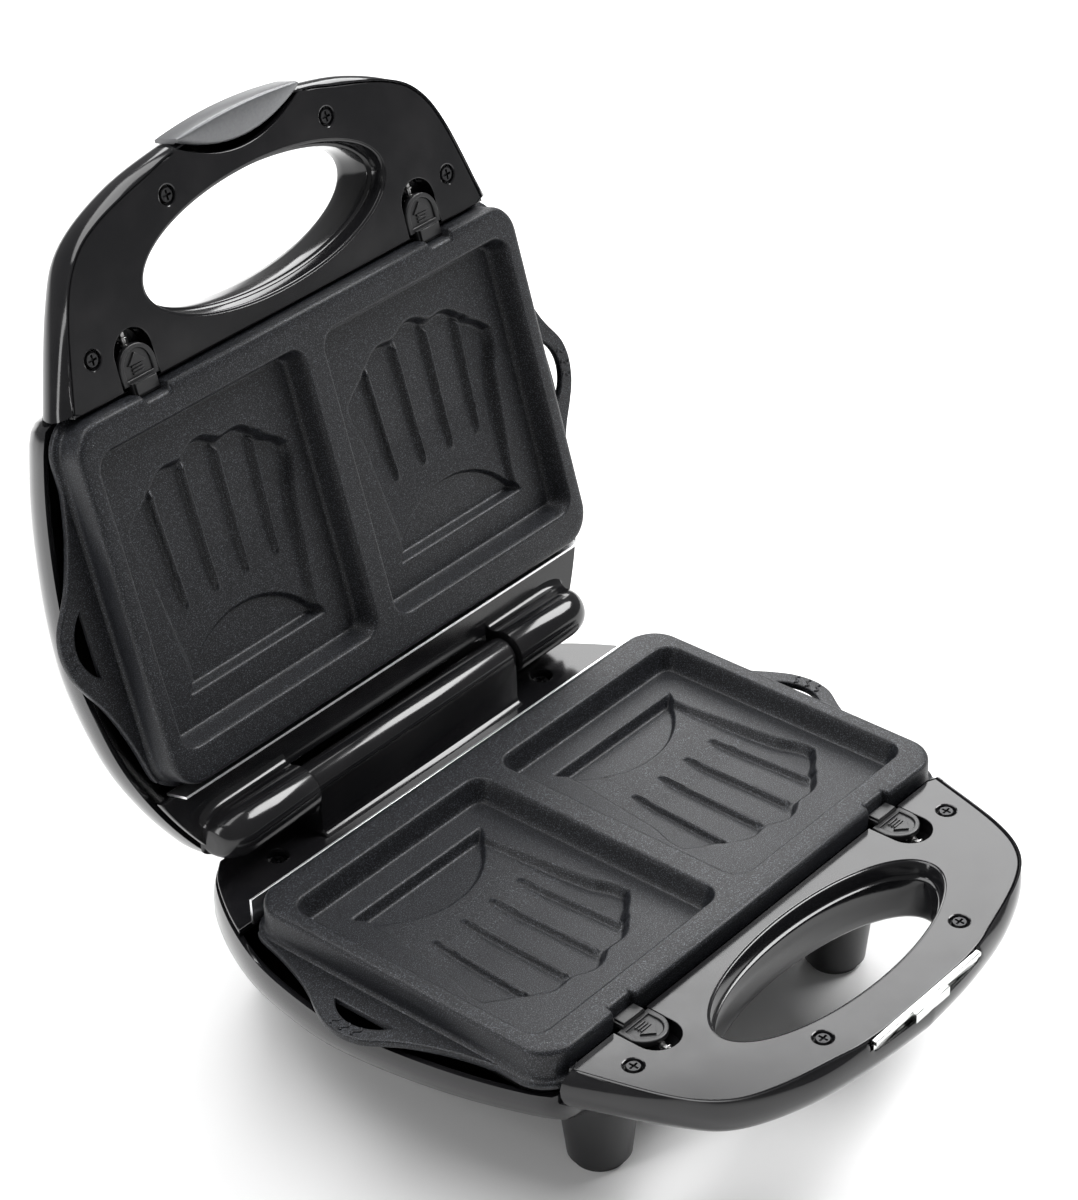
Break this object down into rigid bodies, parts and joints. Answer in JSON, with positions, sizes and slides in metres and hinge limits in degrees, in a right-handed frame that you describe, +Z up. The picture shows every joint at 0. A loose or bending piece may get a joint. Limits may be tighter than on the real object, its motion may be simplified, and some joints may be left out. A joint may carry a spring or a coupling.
{
  "type": "waffle maker",
  "caption": "Hinged two-half sandwich and waffle press with patterned plates, loop handles, sliding plate latches, a lid clip and tall feet.",
  "frame": {"origin": "table plane, under the middle of the bounding box of the open object", "axes": "+X to the side, along the hinge; +Y from the handle to the hinge at the back; +Z up from the table"},
  "size_m": [0.2756, 0.3308, 0.3266],
  "materials": {
    "black_plastic": "gloss black",
    "nonstick": "speckled non-stick coating",
    "aluminium": "mill",
    "element_steel": "heat tinted",
    "steel": "plated",
    "ceramic": "ceramic white",
    "black_steel": "black oxide",
    "rubber": "matte",
    "chrome": "bright",
    "board": "circuit board",
    "red_lens": "clear red",
    "green_lens": "clear green",
    "grey_plastic": "satin grey"
  },
  "bodies": {
    "base": {"lower_shell": "black_plastic", "lower_handle_panel": "black_plastic", "lower_rear_deck": "black_plastic", "lower_plate": "nonstick", "lower_reflector": "aluminium", "lower_element": "element_steel", "lower_element_clips": "steel", "lower_element_terminals": "ceramic", "lower_thermostat": "ceramic", "lower_panel_screws": "black_steel", "lower_deck_screws": "black_steel", "lower_plate_studs": "steel", "lower_collar": "black_plastic", "terminal_block": "ceramic", "cord_gland": "rubber", "feet": "black_plastic", "foot_pads": "rubber", "foot_screws": "steel", "hinge_pins": "steel", "latch_catch": "chrome", "lower_spring_left": "steel", "lower_spring_right": "steel"},
    "lid": {"upper_shell": "black_plastic", "upper_handle_panel": "black_plastic", "upper_rear_deck": "black_plastic", "upper_plate": "nonstick", "upper_reflector": "aluminium", "upper_element": "element_steel", "upper_element_clips": "steel", "upper_element_terminals": "ceramic", "upper_panel_screws": "black_steel", "upper_deck_screws": "black_steel", "upper_plate_studs": "steel", "upper_collar": "black_plastic", "upper_spring_left": "steel", "upper_spring_right": "steel", "thermal_fuse": "ceramic", "indicator_board": "board", "indicator_red": "red_lens", "indicator_green": "green_lens"},
    "lower_latch_left": {"lower_latch_left": "black_plastic"},
    "lower_latch_right": {"lower_latch_right": "black_plastic"},
    "upper_latch_left": {"upper_latch_left": "black_plastic"},
    "upper_latch_right": {"upper_latch_right": "black_plastic"},
    "lid_clip": {"lid_clip": "grey_plastic"}
  },
  "joints": [
    {"name": "lid_hinge", "type": "hinge", "parent": "base", "child": "lid", "pos_m": [0, 0.08033, 0.0861], "axis": [1, 0, 0], "range_deg": [0, 105.5]},
    {"name": "lower_latch_left_slide", "type": "slide", "parent": "base", "child": "lower_latch_left", "axis": [0, -1, 0], "range_m": [0, 0.005], "stiffness_N_per_m": 400, "springref_m": -0.003, "deforming": ["lower_spring_left"]},
    {"name": "lower_latch_right_slide", "type": "slide", "parent": "base", "child": "lower_latch_right", "axis": [0, -1, 0], "range_m": [0, 0.005], "stiffness_N_per_m": 400, "springref_m": -0.003, "deforming": ["lower_spring_right"]},
    {"name": "upper_latch_left_slide", "type": "slide", "parent": "lid", "child": "upper_latch_left", "axis": [0, 0.2672, 0.9636], "range_m": [0, 0.005], "stiffness_N_per_m": 400, "springref_m": -0.003, "deforming": ["upper_spring_left"]},
    {"name": "upper_latch_right_slide", "type": "slide", "parent": "lid", "child": "upper_latch_right", "axis": [0, 0.2672, 0.9636], "range_m": [0, 0.005], "stiffness_N_per_m": 400, "springref_m": -0.003, "deforming": ["upper_spring_right"]},
    {"name": "lid_clip_slide", "type": "slide", "parent": "lid", "child": "lid_clip", "axis": [0, -0.9636, 0.2672], "range_m": [0, 0.011]}
  ]
}
